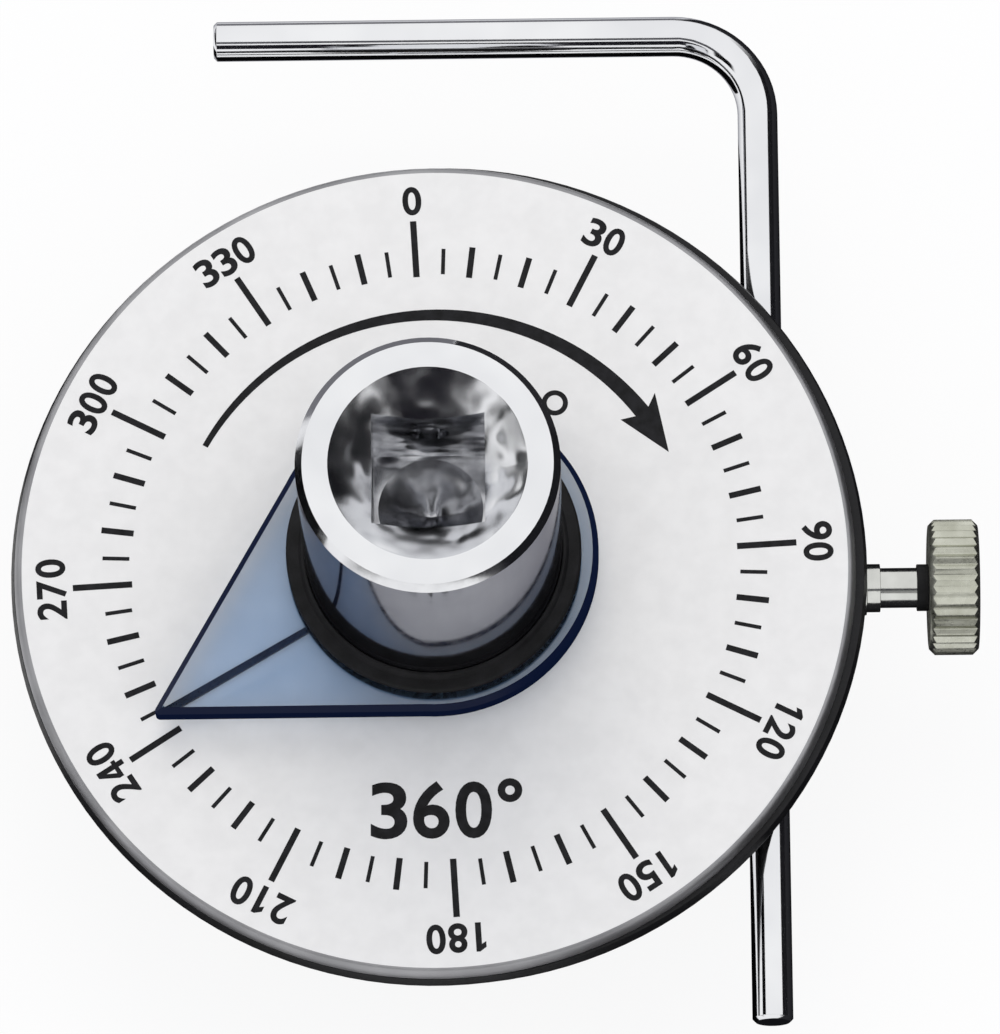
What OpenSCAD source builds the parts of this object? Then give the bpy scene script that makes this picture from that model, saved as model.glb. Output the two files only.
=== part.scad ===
/* [Square drive] */
// Across flats of the square drive
drive_af = 12.7; // [12:0.05:13.2]
// Diameter across the rounded corners of the male square
drive_corner_d = 16.6; // [15.5:0.1:17.5]
// Length of the male square below its shoulder
male_l = 16; // [13:0.5:22]
// Chamfer at the end of the male square
male_chamfer = 0.9; // [0.4:0.1:1.5]
// Extra width of the female square
female_clear = 0.15; // [0.05:0.05:0.4]
// Depth of the female square below the top of the barrel
female_depth = 19; // [15:0.5:26]
// Mouth diameter of the conical lead-in
mouth_d = 22.6; // [20:0.1:25]
// Depth of the conical lead-in
mouth_depth = 4.5; // [2:0.1:7]
// Radius of the dimples that catch a wrench's ball
dimple_r = 2.3; // [1.5:0.1:3]
// Depth of those dimples in the wall
dimple_depth = 1.3; // [0.6:0.1:2]
// Height of the dimples above the floor of the female square
dimple_h = 9; // [7:0.5:11]

/* [Spindle] */
// Diameter of the barrel
barrel_d = 30; // [28:0.1:34]
// Height of the barrel above its flange's underside
barrel_h = 40.6; // [34:0.1:50]
// Chamfer at the top of the barrel
barrel_chamfer = 0.8; // [0.3:0.1:1.5]
// Diameter of the flange that carries the pointer
flange_d = 33; // [32:0.1:34]
// Thickness of that flange
flange_t = 1.2; // [0.8:0.1:2.5]
// Diameter of the journal that turns in the dial
journal_d = 22; // [20:0.1:23]
// Length of journal below the retaining ring
tail_l = 1.2; // [0.8:0.1:4]
// Depth of the groove for the retaining ring
groove_depth = 0.85; // [0.5:0.05:1.2]

/* [Detent] */
// Diameter of the detent ball
ball_d = 4; // [3:0.1:4.6]
// Height of the ball above the end of the male square
ball_h = 8; // [6:0.1:10]
// How far the ball stands out of the square
ball_proud = 0.9; // [0.5:0.05:1.2]
// Depth of the ball's hole
ball_hole_l = 8; // [7:0.1:9]
// Wire diameter of the detent spring
spring_wire = 0.4; // [0.3:0.05:0.5]
// Turns of the detent spring
spring_turns = 5; // [4:1:7]

/* [Bearing] */
// Thickness of each bush's wall
bush_wall = 1.5; // [1:0.1:2]
// Diameter of each bush's flange
bush_flange_d = 28; // [27:0.1:29]
// Thickness of each bush's flange
bush_flange_t = 1; // [0.8:0.1:1.5]
// Length of each bush inside the boss
bush_l = 4.2; // [3:0.1:4.5]
// Thickness of the friction washer
friction_t = 1; // [0.5:0.1:2]
// Diameter of the friction washer
friction_d = 31; // [28:0.1:32]
// Thickness of the thrust washer
thrust_t = 0.6; // [0.4:0.1:1.2]
// Diameter of the thrust washer
thrust_d = 29; // [28:0.1:30]
// Height of the disc spring
disc_h = 0.95; // [0.7:0.05:1.4]
// Thickness of the disc spring
disc_t = 0.5; // [0.4:0.05:0.6]
// Diameter of the disc spring
disc_d = 28.4; // [27:0.1:29]
// Thickness of the retaining ring
ring_t = 1.2; // [0.8:0.1:1.8]
// Radial width of the retaining ring
ring_w = 2.6; // [2:0.1:3]
// Opening of the retaining ring
ring_gap = 5; // [3:0.1:7]

/* [Dial] */
// Diameter of the flat printed face
face_d = 97; // [94:0.1:110]
// How far the rounded edge of the plate runs out
edge_run = 0.8; // [0.3:0.1:1.2]
// Thickness of the dial plate
plate_t = 1.6; // [1.2:0.1:2.5]
// How far the body's rim stands out beyond the plate
rim_proud = 0.45; // [0.2:0.05:1]
// Thickness of the rim
rim_t = 1.8; // [1.6:0.1:2.4]
// Chamfer under the rim
rim_chamfer = 0.25; // [0.1:0.05:0.4]
// How far the rim draws in towards its top
rim_taper = 0.4; // [0.1:0.05:0.4]
// Shift of the thicker rim towards the rod's side
lobe_x = 0.9; // [0:0.1:1.2]
// Shift of the thicker rim along the rod
lobe_y = 0.1; // [0:0.1:1]
// Thickness of the web under the plate
web_t = 1.5; // [1.2:0.1:1.6]
// Diameter of the hub boss
boss_d = 33; // [32:0.1:36]
// Length of the hub boss with its spigot
boss_l = 9.4; // [9.2:0.1:12]
// Diameter of the spigot that centres the plate
spigot_d = 30; // [29:0.1:31]
// Depth of the spigot's top under the face
spigot_drop = 0.6; // [0.3:0.1:0.9]
// Number of radial ribs
rib_n = 12; // [8:1:16]
// Thickness of the ribs
rib_w = 1.4; // [1:0.1:2]
// Depth of the ribs under the web
rib_h = 3; // [1.5:0.1:4]
// Distance of the ring rib inside the rim
ring_rib_inset = 4.2; // [3.5:0.1:6]

/* [Pointer] */
// Diameter of the pointer's hub
hub_d = 38.4; // [37:0.1:42]
// Distance of the tip from the drive axis
tip_r = 37.5; // [34:0.1:42]
// Radius that blunts the tip
tip_round = 0.5; // [0.3:0.1:1]
// How far the blade's straight edges lie inside the hub's tangents
blade_inset = 0.03; // [0.02:0.01:0.1]
// Thickness of the pointer
pointer_t = 3; // [2:0.1:4]
// Width and height of the bevel round the pointer
pointer_bevel = 0.7; // [0.5:0.1:1.5]
// Width of the engraved index line
index_w = 0.6; // [0.4:0.05:1]
// Depth of the engraved index line
index_depth = 0.5; // [0.3:0.05:0.8]
// Direction of the pointer, clockwise from the rod's direction
pointer_angle = 239.6; // [0:0.1:360]
// Diameter of the grommet's lips
lip_d = 34.4; // [33.6:0.1:35.4]
// Thickness of the grommet's lips
lip_t = 0.6; // [0.4:0.1:1]
// Thickness of the grommet's sleeve
grommet_wall = 1; // [0.7:0.05:1.1]
// Height of the grommet's collar above its upper lip
collar_h = 0.7; // [0.3:0.1:2]
// Thickness of that collar
collar_t = 0.7; // [0.5:0.1:1]

/* [Reaction rod] */
// Diameter of the rod
rod_d = 4.76; // [4:0.01:5]
// Distance of the rod's axis inside the rim
rod_inset = 10.95; // [10:0.05:12]
// Distance of the arm's axis outside the rim
arm_out = 17.9; // [14:0.05:30]
// Length of the arm from the rod's axis to its end
arm_l = 65; // [40:0.5:90]
// Distance of the rod's lower end outside the rim
tail_out = 3.75; // [2:0.05:20]
// Centreline radius of the bend
bend_r = 10; // [6:0.1:11]
// Chamfer at the rod's ends
rod_chamfer = 0.4; // [0.2:0.1:0.8]

/* [Rod carrier] */
// Length of the carrier along the rod
carrier_l = 26; // [22:0.5:28]
// Wall of the carrier round the tunnel
carrier_wall = 2.1; // [1.5:0.1:2.6]
// Wall of the carrier above the tunnel
roof_t = 1; // [0.8:0.1:1.6]
// Width of the screw flange
carrier_flange_w = 7.5; // [7:0.1:8]
// Thickness of the screw flange
carrier_flange_t = 3.5; // [3:0.1:4.5]
// Wall of the sleeve on the rod
sleeve_wall = 0.78; // [0.6:0.02:1]
// Width of the sleeve's slit
slit_w = 0.8; // [0.4:0.1:1.2]
// Height of the lips that keep the sleeve in the tunnel
sleeve_lip = 0.55; // [0.3:0.05:0.6]
// Thickness of those lips
sleeve_lip_t = 0.8; // [0.5:0.1:1.5]
// Number of carrier screws
screw_n = 3; // [2:1:3]
// Distance between the carrier screws
screw_pitch = 9; // [8:0.1:9.5]
// Diameter of the carrier screws
screw_d = 2.5; // [2:0.1:2.6]
// Head diameter of the carrier screws
screw_head_d = 6.4; // [5.8:0.1:6.6]
// Head height of the carrier screws
screw_head_h = 1.8; // [1.2:0.1:2.4]
// Wall of the bosses that the screws bite in
screw_boss_wall = 1.15; // [0.8:0.05:1.2]

/* [Clamp] */
// How far the clamp's axis lies towards the rod's lower end
clamp_shift = 1.3; // [-2:0.1:2]
// Diameter of the clamp stud
stud_d = 4.7; // [4.2:0.1:5]
// Length of the brass pad
pad_l = 3; // [2.5:0.1:3.4]
// Diameter of the brass pad
pad_d = 4; // [3.4:0.1:4.1]
// Wall of the threaded insert
insert_wall = 0.8; // [0.6:0.05:1]
// Wall of the insert's collar outside the rim
insert_collar_wall = 0.45; // [0.3:0.05:0.6]
// Length of the insert's collar
insert_collar_l = 1.6; // [1:0.1:3]
// Wall of the carrier between pad and insert
insert_seat = 2.2; // [1.6:0.1:2.4]
// Wall of the carrier's boss round the insert
clamp_boss_wall = 1.2; // [0.8:0.1:1.6]
// How far that boss ends inside the rim
clamp_boss_inset = 0.2; // [0:0.1:1]
// Free length of stud between collar and knob
stud_free = 5.7; // [4:0.1:9]
// Diameter of the knob
knob_d = 16; // [12:0.1:20]
// Thickness of the knob
knob_t = 5.8; // [4:0.1:9]
// Chamfer of the knob
knob_chamfer = 0.7; // [0.3:0.1:1.2]
// Ridges of the knob's knurl
knurl_n = 36; // [24:1:60]
// Depth of the knurl
knurl_depth = 0.4; // [0.2:0.05:0.6]
// Depth of the stud in the knob
knob_socket = 4.6; // [3:0.1:5]
// Thickness of the ring between stud and knob
knob_ring_t = 1.4; // [0.8:0.1:2.5]
// Wall of that ring
knob_ring_wall = 0.4; // [0.4:0.05:1]

/* [Fits] */
// Radial clearance of parts that turn or slide in each other
run_clear = 0.04; // [0.02:0.01:0.08]
// Radial gap of parts that are pressed or glued together
seat_clear = 0.01; // [0.005:0.005:0.02]
// Gap between flat faces that turn on each other
face_gap = 0.05; // [0.03:0.01:0.1]
// Room round pieces that must not touch
room = 0.4; // [0.3:0.05:0.6]

/* [Hidden] */
$fn = 96;
overlap = 0.02;

face_r = face_d / 2;
plate_r = face_r + edge_run;
rim_r = plate_r + rim_proud;
ring_rib_r = rim_r - ring_rib_inset;
barrel_r = barrel_d / 2;
journal_r = journal_d / 2;
bush_r = journal_r + run_clear + bush_wall;

ring_z = male_l + tail_l + face_gap;
disc_z = ring_z + ring_t;
thrust_z = disc_z + disc_h;
lower_bush_z = thrust_z + thrust_t + face_gap;
boss_z = lower_bush_z + bush_flange_t;
boss_top_z = boss_z + boss_l;
friction_z = boss_top_z + bush_flange_t + face_gap;
flange_z = friction_z + friction_t;
barrel_top_z = flange_z + barrel_h;
face_z = boss_top_z + spigot_drop;
plate_z = face_z - plate_t;
web_z = plate_z - web_t;
rim_z = plate_z - rim_t;

grommet_z = flange_z + flange_t + face_gap;
pointer_z = grommet_z + lip_t;
grommet_r = barrel_r + run_clear;
eye_r = grommet_r + grommet_wall;

rod_r = rod_d / 2;
rod_x = rim_r - rod_inset;
arm_y = rim_r + arm_out;
rod_low_y = -rim_r - tail_out;
sleeve_r = rod_r + run_clear + sleeve_wall;
tunnel_r = sleeve_r + run_clear;
rod_z = web_z - roof_t - tunnel_r;
block_r = tunnel_r + carrier_wall;
block_x = rod_x - block_r;
screw_x = block_x - carrier_flange_w / 2;

stud_r = stud_d / 2;
pad_x = rod_x + sleeve_r + face_gap;
stud_x = pad_x + pad_l + face_gap;
insert_x = rod_x + tunnel_r + insert_seat;
collar_x = rim_r + lobe_x;
collar_end_x = collar_x + insert_collar_l;
knob_ring_x = collar_end_x + stud_free - knob_ring_t;
knob_x = knob_ring_x + knob_ring_t;
insert_r = stud_r + run_clear + insert_wall;

// A flat ring on the drive axis
module washer(outer_r, inner_r, t) {
  difference() {
    cylinder(r = outer_r, h = t);
    translate([0, 0, -overlap]) cylinder(r = inner_r, h = t + 2 * overlap);
  }
}

// A rod along +Z with chamfered ends
module chamfered_rod(r, l, chamfer) {
  rotate_extrude()
    polygon([[0, 0], [r - chamfer, 0], [r, chamfer], [r, l - chamfer], [r - chamfer, l], [0, l]]);
}

// A rod along +Z with a chamfer at its far end only
module rod_end(r, l, chamfer) {
  rotate_extrude() polygon([[0, 0], [r, 0], [r, l - chamfer], [r - chamfer, l], [0, l]]);
}

// Turns a shape made along +Z so that it lies along +X on the clamp's axis
module along_clamp(x) {
  translate([x, -clamp_shift, rod_z]) rotate([0, 90, 0]) children();
}

// Turns a shape made along +Z so that it lies along the rod, centred
module along_rod() {
  translate([rod_x, 0, rod_z]) rotate([90, 0, 0]) children();
}

// The places of the carrier's screws, on the underside of the web
module at_screws() {
  for (i = [0 : screw_n - 1])
    translate([screw_x, (i - (screw_n - 1) / 2) * screw_pitch, web_z]) children();
}

// Edge of the dial plate from the flat face to its foot, as a quarter of an ellipse
function plate_edge(steps = 6) = [
  for (i = [0 : steps])
    let (a = 90 * i / steps)
    [face_r + edge_run * sin(a), plate_t - plate_t * (1 - cos(a))]
];

module dial_plate() {
  hole_r = spigot_d / 2 + seat_clear;
  color("whitesmoke") translate([0, 0, plate_z])
    rotate_extrude($fn = 180) polygon(concat([[hole_r, 0], [hole_r, plate_t]], plate_edge()));
}

module rim_disc() {
  translate([0, 0, rim_z]) rotate_extrude($fn = 180) polygon([
    [0, 0],
    [rim_r - rim_chamfer, 0],
    [rim_r, rim_chamfer],
    [rim_r, rim_t / 3],
    [rim_r - rim_taper, rim_t],
    [0, rim_t]
  ]);
}

// The rim disc, thinned to the web inside the ring rib
module dish() {
  difference() {
    union() {
      rim_disc();
      translate([lobe_x, lobe_y, 0]) rim_disc();
    }
    translate([0, 0, rim_z - overlap]) cylinder(r = ring_rib_r, h = rim_t - web_t + overlap);
  }
}

module ribs() {
  difference() {
    translate([0, 0, web_z - rib_h]) {
      washer(ring_rib_r, ring_rib_r - rib_w, rib_h + overlap);
      for (i = [0 : rib_n - 1])
        rotate([0, 0, (i + 0.5) * 360 / rib_n]) translate([boss_d / 2 - rib_w, -rib_w / 2, 0])
          cube([ring_rib_r - rib_w / 2 - boss_d / 2 + rib_w, rib_w, rib_h + overlap]);
    }
    rib_cutouts();
  }
}

// Room for the carrier, for the rod on both sides of it and for the clamp's boss
module rib_cutouts() {
  z0 = web_z - rib_h - overlap;
  h = rib_h + overlap;
  flange_x = block_x - carrier_flange_w - room;
  half_l = carrier_l / 2 + sleeve_lip_t + face_gap + room;
  channel_w = 2 * (rod_r + 2 * room);
  translate([flange_x, -half_l, z0]) cube([rim_r, 2 * half_l, h]);
  translate([rod_x - channel_w / 2, -rim_r, z0]) cube([channel_w, 2 * rim_r, h]);
}

module dial_body() {
  screw_boss_r = screw_d / 2 + seat_clear + screw_boss_wall;
  screw_boss_h = carrier_flange_t - 2 * face_gap;
  color("#1b1b1d") difference() {
    union() {
      dish();
      translate([0, 0, boss_z]) cylinder(d = boss_d, h = web_z - boss_z + overlap);
      translate([0, 0, web_z]) cylinder(d = spigot_d, h = boss_top_z - web_z);
      ribs();
      at_screws() translate([0, 0, -screw_boss_h]) cylinder(r = screw_boss_r, h = screw_boss_h + overlap);
    }
    translate([0, 0, boss_z - overlap]) cylinder(r = bush_r + seat_clear, h = boss_l + 2 * overlap);
    at_screws() translate([0, 0, -screw_boss_h - overlap])
      cylinder(r = screw_d / 2 + seat_clear, h = screw_boss_h + web_t / 2);
  }
}

// Flanged bush standing on its flange
module bush() {
  difference() {
    union() {
      cylinder(d = bush_flange_d, h = bush_flange_t);
      cylinder(r = bush_r, h = bush_flange_t + bush_l);
    }
    translate([0, 0, -overlap])
      cylinder(r = journal_r + run_clear, h = bush_flange_t + bush_l + 2 * overlap);
  }
}

module upper_bush() {
  color("#9a7b45") translate([0, 0, boss_top_z + bush_flange_t]) mirror([0, 0, 1]) bush();
}

module lower_bush() {
  color("#9a7b45") translate([0, 0, lower_bush_z]) bush();
}

module spindle_turned() {
  groove_r = journal_r - groove_depth;
  groove_z = ring_z - face_gap;
  groove_top_z = ring_z + ring_t + face_gap;
  collar_top_z = flange_z + flange_t;
  tail_chamfer = groove_depth / 2;
  rotate_extrude() polygon([
    [0, male_l],
    [journal_r - tail_chamfer, male_l],
    [journal_r, male_l + tail_chamfer],
    [journal_r, groove_z],
    [groove_r, groove_z],
    [groove_r, groove_top_z],
    [journal_r, groove_top_z],
    [journal_r, flange_z],
    [flange_d / 2, flange_z],
    [flange_d / 2, collar_top_z],
    [barrel_r, collar_top_z],
    [barrel_r, barrel_top_z - barrel_chamfer],
    [barrel_r - barrel_chamfer, barrel_top_z],
    [0, barrel_top_z]
  ]);
}

module male_square() {
  corner_r = drive_corner_d / 2;
  intersection() {
    translate([-drive_af / 2, -drive_af / 2, 0]) cube([drive_af, drive_af, male_l + tail_l]);
    rotate_extrude() polygon([
      [0, 0],
      [corner_r - 2 * male_chamfer, 0],
      [corner_r, 2 * male_chamfer],
      [corner_r, male_l + tail_l],
      [0, male_l + tail_l]
    ]);
  }
}

module female_square() {
  w = drive_af + female_clear;
  floor_z = barrel_top_z - female_depth;
  drill_r = w / 2 - room;
  translate([-w / 2, -w / 2, floor_z]) cube([w, w, female_depth + overlap]);
  translate([0, 0, barrel_top_z - mouth_depth]) cylinder(r1 = drill_r, r2 = mouth_d / 2, h = mouth_depth);
  translate([0, 0, floor_z - drill_r / 2]) cylinder(r1 = 0, r2 = drill_r, h = drill_r / 2);
  for (a = [0, 90])
    rotate([0, 0, a]) translate([0, 0, floor_z + dimple_h]) rotate([90, 0, 0])
      cylinder(r = dimple_r, h = w + 2 * dimple_depth, center = true);
}

module detent_hole() {
  translate([0, -drive_af / 2 + ball_hole_l, ball_h]) rotate([90, 0, 0])
    cylinder(r = ball_d / 2 + run_clear, h = ball_hole_l + overlap);
}

module drive_spindle() {
  color("#d9dbde") difference() {
    union() {
      spindle_turned();
      male_square();
    }
    female_square();
    detent_hole();
  }
}

module friction_washer() {
  color("#e8e2d0") translate([0, 0, friction_z]) washer(friction_d / 2, journal_r + run_clear, friction_t);
}

module thrust_washer() {
  color("#a8abb0") translate([0, 0, thrust_z]) washer(thrust_d / 2, journal_r + run_clear, thrust_t);
}

module disc_spring() {
  inner_r = journal_r + run_clear;
  color("#6f747c") translate([0, 0, disc_z]) rotate_extrude() polygon([
    [inner_r, disc_h - disc_t],
    [disc_d / 2, 0],
    [disc_d / 2, disc_t],
    [inner_r, disc_h]
  ]);
}

module retaining_ring() {
  inner_r = journal_r - groove_depth + run_clear;
  lug_r = ring_w / 2;
  lug_x = inner_r + ring_w;
  lug_y = ring_gap / 2 + lug_r;
  color("#4a4d52") translate([0, 0, ring_z]) linear_extrude(ring_t) difference() {
    union() {
      circle(r = inner_r + ring_w);
      for (s = [-1, 1]) translate([lug_x - lug_r, s * lug_y]) circle(r = lug_r + run_clear);
    }
    circle(r = inner_r);
    translate([0, -ring_gap / 2]) square([2 * lug_x, ring_gap]);
    for (s = [-1, 1]) translate([lug_x - lug_r, s * lug_y]) circle(r = lug_r / 2);
  }
}

module detent_ball() {
  color("#c9ccd1") translate([0, -drive_af / 2 - ball_proud + ball_d / 2, ball_h]) sphere(d = ball_d);
}

// Points of one wire section of a helix along +Z, at turn t
function wire_ring(r, pitch, t, sides) = [
  for (k = [0 : sides - 1])
    let (a = 360 * k / sides, rr = r + spring_wire / 2 * cos(a))
    [rr * cos(360 * t), rr * sin(360 * t), pitch * t + spring_wire / 2 * sin(a)]
];

module helix(r, pitch, turns, steps = 14, sides = 8) {
  n = turns * steps;
  points = [for (i = [0 : n]) each wire_ring(r, pitch, i / steps, sides)];
  walls = [
    for (i = [0 : n - 1], k = [0 : sides - 1])
      let (k2 = (k + 1) % sides)
      [i * sides + k, (i + 1) * sides + k, (i + 1) * sides + k2, i * sides + k2]
  ];
  first = [for (k = [0 : sides - 1]) k];
  last = [for (k = [sides - 1 : -1 : 0]) n * sides + k];
  polyhedron(points, concat([first], walls, [last]));
}

module detent_spring() {
  coil_r = ball_d / 2 - spring_wire / 2 - run_clear - spring_wire / 2;
  ball_y = -drive_af / 2 - ball_proud + ball_d / 2;
  ball_touch = sqrt(pow(ball_d / 2 + spring_wire / 2, 2) - pow(coil_r, 2));
  seat_y = -drive_af / 2 + ball_hole_l;
  free_l = seat_y - ball_y - ball_touch - spring_wire - 2 * face_gap;
  color("#8d9096") translate([0, seat_y - face_gap - spring_wire / 2, ball_h]) rotate([90, 0, 0])
    helix(coil_r, free_l / spring_turns, spring_turns);
}

// Direction of the normal of the blade's edge, from the pointer's axis
function edge_angle() = acos((hub_d / 2 - blade_inset - tip_round) / (tip_r - tip_round));

// The hub as a bevelled disc
module pointer_hub() {
  hub_r = hub_d / 2;
  rotate_extrude() polygon([
    [0, 0],
    [hub_r, 0],
    [hub_r, pointer_t - pointer_bevel],
    [hub_r - pointer_bevel, pointer_t],
    [0, pointer_t]
  ]);
}

// Outline of the blade along +X: from the axis along both edges to the blunt tip
module blade_outline(steps = 6) {
  foot_r = hub_d / 2 - blade_inset;
  a = edge_angle();
  tip = [
    for (i = [0 : steps])
      let (b = a - 2 * a * i / steps)
      [tip_r - tip_round + tip_round * cos(b), tip_round * sin(b)]
  ];
  polygon(concat([[0, 0], [foot_r * cos(a), foot_r * sin(a)]], tip, [[foot_r * cos(a), -foot_r * sin(a)]]));
}

// What the bevel takes off the blade's upper edges
module blade_bevels() {
  a = edge_angle();
  edge_l = tip_r * sin(a) + hub_d / 2;
  out = pointer_bevel / 2;
  section = [[-pointer_bevel - out, out], [out, out], [out, -pointer_bevel - out]];
  for (s = [0, 1]) mirror([0, s, 0])
    rotate([0, 0, a]) translate([hub_d / 2 - blade_inset, out, pointer_t]) rotate([90, 0, 0])
      linear_extrude(edge_l) polygon(section);
}

module pointer() {
  index_l = tip_r - 2 * tip_round - lip_d / 2;
  color("#8fa6cc") translate([0, 0, pointer_z]) rotate([0, 0, 90 - pointer_angle]) difference() {
    union() {
      pointer_hub();
      difference() {
        linear_extrude(pointer_t) blade_outline();
        blade_bevels();
      }
    }
    translate([0, 0, -overlap]) cylinder(r = eye_r + seat_clear, h = pointer_t + 2 * overlap);
    translate([lip_d / 2, -index_w / 2, -overlap]) cube([index_l, index_w, index_depth + overlap]);
  }
}

module pointer_grommet() {
  lip_r = lip_d / 2;
  groove_top = lip_t + pointer_t;
  lip_top = groove_top + lip_t;
  color("#141416") translate([0, 0, grommet_z]) rotate_extrude() polygon([
    [grommet_r, 0],
    [lip_r, 0],
    [lip_r, lip_t],
    [eye_r, lip_t],
    [eye_r, groove_top],
    [lip_r, groove_top],
    [lip_r, groove_top + lip_t / 2],
    [lip_r - lip_t / 2, lip_top],
    [grommet_r + collar_t, lip_top],
    [grommet_r + collar_t / 2, lip_top + collar_h],
    [grommet_r, lip_top + collar_h]
  ]);
}

// Section of the carrier across the rod, seen along the rod
module carrier_section() {
  block_h = web_z - rod_z;
  intersection() {
    circle(r = block_r);
    translate([-block_r, -block_r]) square([2 * block_r, block_r]);
  }
  translate([-block_r, 0]) square([2 * block_r, block_h]);
  translate([-block_r - carrier_flange_w, block_h - carrier_flange_t])
    square([carrier_flange_w + block_r, carrier_flange_t]);
}

module clamp_boss() {
  boss_r = insert_r + seat_clear + clamp_boss_wall;
  boss_end = rim_r - clamp_boss_inset;
  intersection() {
    along_clamp(rod_x) cylinder(r = boss_r, h = boss_end - rod_x);
    translate([rod_x, -clamp_shift - boss_r, rod_z - boss_r])
      cube([rim_r, 2 * boss_r, rim_z - room - rod_z + boss_r]);
  }
}

module rod_carrier() {
  screw_hole_r = screw_d / 2 + seat_clear + screw_boss_wall + run_clear;
  color("#242427") difference() {
    union() {
      intersection() {
        along_rod() linear_extrude(carrier_l, center = true) carrier_section();
        translate([0, 0, rod_z - block_r]) cylinder(r = ring_rib_r - room, h = web_z - rod_z + block_r);
      }
      clamp_boss();
    }
    along_rod() cylinder(r = tunnel_r, h = carrier_l + 2 * overlap, center = true);
    along_clamp(rod_x) cylinder(r = pad_d / 2 + run_clear, h = rim_r);
    along_clamp(insert_x) cylinder(r = insert_r + seat_clear, h = rim_r);
    at_screws() translate([0, 0, -carrier_flange_t - overlap])
      cylinder(r = screw_hole_r, h = carrier_flange_t + 2 * overlap);
  }
}

// One pan-head screw pointing up, its head's bearing face at z = 0
module pan_screw(shank_l) {
  head_r = screw_head_d / 2;
  slot_w = screw_head_h / 2;
  slot_depth = screw_head_h / 2;
  difference() {
    rotate_extrude() polygon([
      [0, -screw_head_h],
      [head_r - screw_head_h / 2, -screw_head_h],
      [head_r - screw_head_h / 6, -screw_head_h * 2 / 3],
      [head_r, -screw_head_h / 4],
      [head_r, 0],
      [screw_d / 2, 0],
      [screw_d / 2, shank_l - screw_d / 4],
      [screw_d / 4, shank_l],
      [0, shank_l]
    ]);
    translate([-head_r, -slot_w / 2, -screw_head_h - overlap]) cube([2 * head_r, slot_w, slot_depth + overlap]);
  }
}

module carrier_screws() {
  shank_l = carrier_flange_t + web_t / 4;
  color("#b9bcc2") at_screws() translate([0, 0, -carrier_flange_t]) pan_screw(shank_l);
}

module rod_sleeve() {
  body_l = carrier_l + 2 * face_gap;
  full_l = body_l + 2 * sleeve_lip_t;
  lip_r = tunnel_r + sleeve_lip;
  color("#e6e3da") along_rod() difference() {
    union() {
      cylinder(r = sleeve_r, h = full_l, center = true);
      for (s = [0, 1]) mirror([0, 0, s]) translate([0, 0, body_l / 2]) cylinder(r = lip_r, h = sleeve_lip_t);
    }
    cylinder(r = rod_r + run_clear, h = full_l + 2 * overlap, center = true);
    translate([-2 * lip_r, -slit_w / 2, -full_l / 2 - overlap]) cube([2 * lip_r, slit_w, full_l + 2 * overlap]);
  }
}

module reaction_rod() {
  bend_y = arm_y - bend_r;
  bend_x = rod_x - bend_r;
  color("#d5d7da") translate([0, 0, rod_z]) {
    translate([rod_x, bend_y, 0]) rotate([90, 0, 0]) rod_end(rod_r, bend_y - rod_low_y, rod_chamfer);
    translate([bend_x, bend_y, 0]) rotate_extrude(angle = 90) translate([bend_r, 0]) circle(r = rod_r);
    translate([bend_x, arm_y, 0]) rotate([0, -90, 0]) rod_end(rod_r, arm_l - bend_r, rod_chamfer);
  }
}

module clamp_insert() {
  bore_r = stud_r + run_clear;
  collar_r = bore_r + insert_collar_wall;
  color("#b7b9b4") along_clamp(insert_x) difference() {
    union() {
      cylinder(r = insert_r, h = collar_x - insert_x);
      cylinder(r = collar_r, h = collar_end_x - insert_x);
    }
    translate([0, 0, -overlap]) cylinder(r = bore_r, h = collar_end_x - insert_x + 2 * overlap);
  }
}

module clamp_pad() {
  color("#b5943c") along_clamp(pad_x) chamfered_rod(pad_d / 2, pad_l, pad_d / 16);
}

module clamp_screw() {
  color("#c2c4be") along_clamp(stud_x) chamfered_rod(stud_r, knob_x + knob_socket - stud_x, stud_d / 10);
}

// Straight knurl as a star of ridges
module knurl_section() {
  r = knob_d / 2;
  polygon([
    for (i = [0 : 2 * knurl_n - 1])
      let (a = 180 * i / knurl_n, rr = i % 2 == 0 ? r : r - knurl_depth)
      [rr * cos(a), rr * sin(a)]
  ]);
}

module clamp_knob() {
  r = knob_d / 2;
  color("#bfc1b4") along_clamp(knob_x) difference() {
    intersection() {
      linear_extrude(knob_t) knurl_section();
      chamfered_rod(r + room, knob_t, knob_chamfer + room);
    }
    translate([0, 0, -overlap]) cylinder(r = stud_r + seat_clear, h = knob_socket + face_gap + overlap);
  }
}

module knob_ring() {
  color("#0f0f10") along_clamp(knob_ring_x) difference() {
    cylinder(r = stud_r + seat_clear + knob_ring_wall, h = knob_ring_t);
    translate([0, 0, -overlap]) cylinder(r = stud_r + seat_clear, h = knob_ring_t + 2 * overlap);
  }
}

dial_plate();
dial_body();
upper_bush();
lower_bush();
drive_spindle();
friction_washer();
thrust_washer();
disc_spring();
retaining_ring();
detent_ball();
detent_spring();
pointer();
pointer_grommet();
rod_carrier();
carrier_screws();
rod_sleeve();
reaction_rod();
clamp_insert();
clamp_pad();
clamp_screw();
clamp_knob();
knob_ring();
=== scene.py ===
import math

import bmesh
import bpy
from mathutils import Matrix, Vector


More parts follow.
